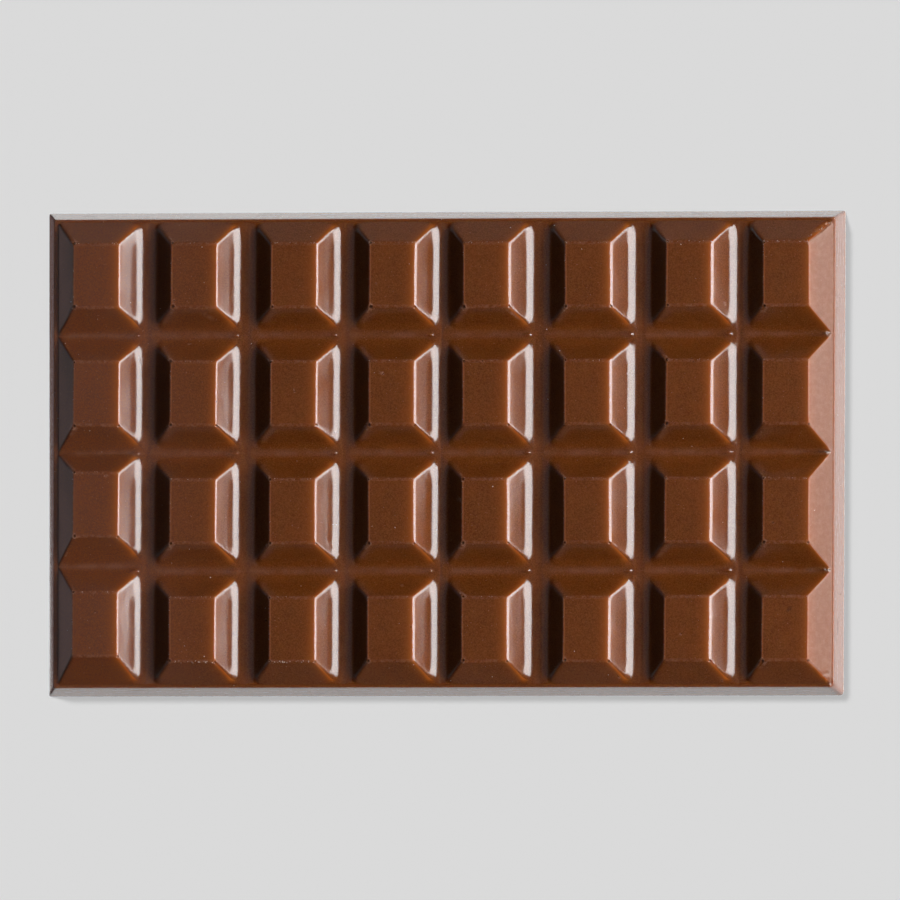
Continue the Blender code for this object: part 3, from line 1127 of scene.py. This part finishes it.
# Only the camera sees the pale floor. The chocolate mirrors the glowing cards laid just under it.
def layFloor():
    size = studio["floorSize"] / 2
    floor = stagePlane("floor", (-size, -size), (size, size), -0.00002)
    floor.data.materials.append(matteMaterial("paleFloor", studio["floorColour"]))
    floor.visible_glossy = False
    floor.visible_diffuse = False
    floor.visible_shadow = False
    glow = studio["glow"]
    reach = glow["reach"]
    x, y = barLength / 2 * mm, barWidth / 2 * mm
    cards = (
        ("farCard", (-x, 0.0), (x, y + reach), glowMaterial("farGlow", glow["far"])),
        ("nearCard", (-x, -y - reach), (x, 0.0), glowMaterial("nearGlow", glow["near"])),
        ("rightCard", (x, -y - reach), (x + reach, y + reach), glowMaterial("rightGlow", glow["right"])),
        ("leftCard", (-x - reach, -y - reach), (-x, y + reach), glowMaterial("leftGlow", *glow["left"], glow["leftColour"])),
    )
    for name, low, high, material in cards:
        card = stagePlane(name, low, high, -0.0002)
        card.data.materials.append(material)
        card.visible_camera = False
        card.visible_diffuse = False
    return floor


floor = layFloor()
for name in ("keyWash", "lowWash", "keyGloss", "overhead", "leftGloss"):
    linkTo(areaLight(name), tabletPiece, crumbPiece)
for name in ("keyWash", "lowWash"):
    bpy.data.objects[name].visible_glossy = False
for name in ("keyGloss", "overhead", "leftGloss"):
    bpy.data.objects[name].visible_diffuse = False
for name in ("floorWash", "floorSun"):
    linkTo(sunLight(name), floor)
bpy.data.lights["floorWash"].use_shadow = False
# the chocolate throws no brown light on the floor or on itself
for piece in (tabletPiece, crumbPiece):
    piece.visible_diffuse = False


def hangSky():
    sky = studio["sky"]
    world = bpy.data.worlds.new("room")
    bpy.context.scene.world = world
    world.use_nodes = True
    nodes, links = world.node_tree.nodes, world.node_tree.links
    place, split = nodes.new("ShaderNodeTexCoord"), nodes.new("ShaderNodeSeparateXYZ")
    links.new(place.outputs["Generated"], split.inputs["Vector"])
    links.new(
        spread(nodes, links, split.outputs["Z"], 0.05, 0.24, sky["horizon"], sky["overhead"]),
        nodes["Background"].inputs["Strength"],
    )
    nodes["Background"].inputs["Color"].default_value = (1.0, 1.0, 1.0, 1.0)
    world.cycles_visibility.diffuse = False


hangSky()
print("studio set")


# ---- camera ----

camera = {
    "lens": 1200.0,
    "sensor": 36.0,
    "frameWidth": 167.7,  # mm of table across the picture
    "leanRight": 8.03,  # degrees off straight down, towards +X
    "leanNear": 3.23,  # and towards -Y
    "roll": 0.30,
    "aim": (0.80, 0.75, 0.0),
}


def buildCamera():
    data = bpy.data.cameras.new("camera")
    data.lens = camera["lens"]
    data.sensor_width = camera["sensor"]
    data.clip_end = 40.0
    made = bpy.data.objects.new("camera", data)
    bpy.context.scene.collection.objects.link(made)
    back = Vector((
        math.tan(math.radians(camera["leanRight"])),
        -math.tan(math.radians(camera["leanNear"])),
        1.0,
    )).normalized()
    right = Vector((0.0, 1.0, 0.0)).cross(back).normalized()
    up = back.cross(right)
    turn = Matrix((right, up, back)).transposed()
    made.rotation_mode = "QUATERNION"
    made.rotation_quaternion = (turn @ Matrix.Rotation(math.radians(camera["roll"]), 3, "Z")).to_quaternion()
    distance = camera["lens"] / camera["sensor"] * camera["frameWidth"] * mm
    made.location = Vector(camera["aim"]) * mm + back * distance
    bpy.context.scene.camera = made


buildCamera()
bpy.context.scene.view_settings.view_transform = "Standard"
print("camera set")
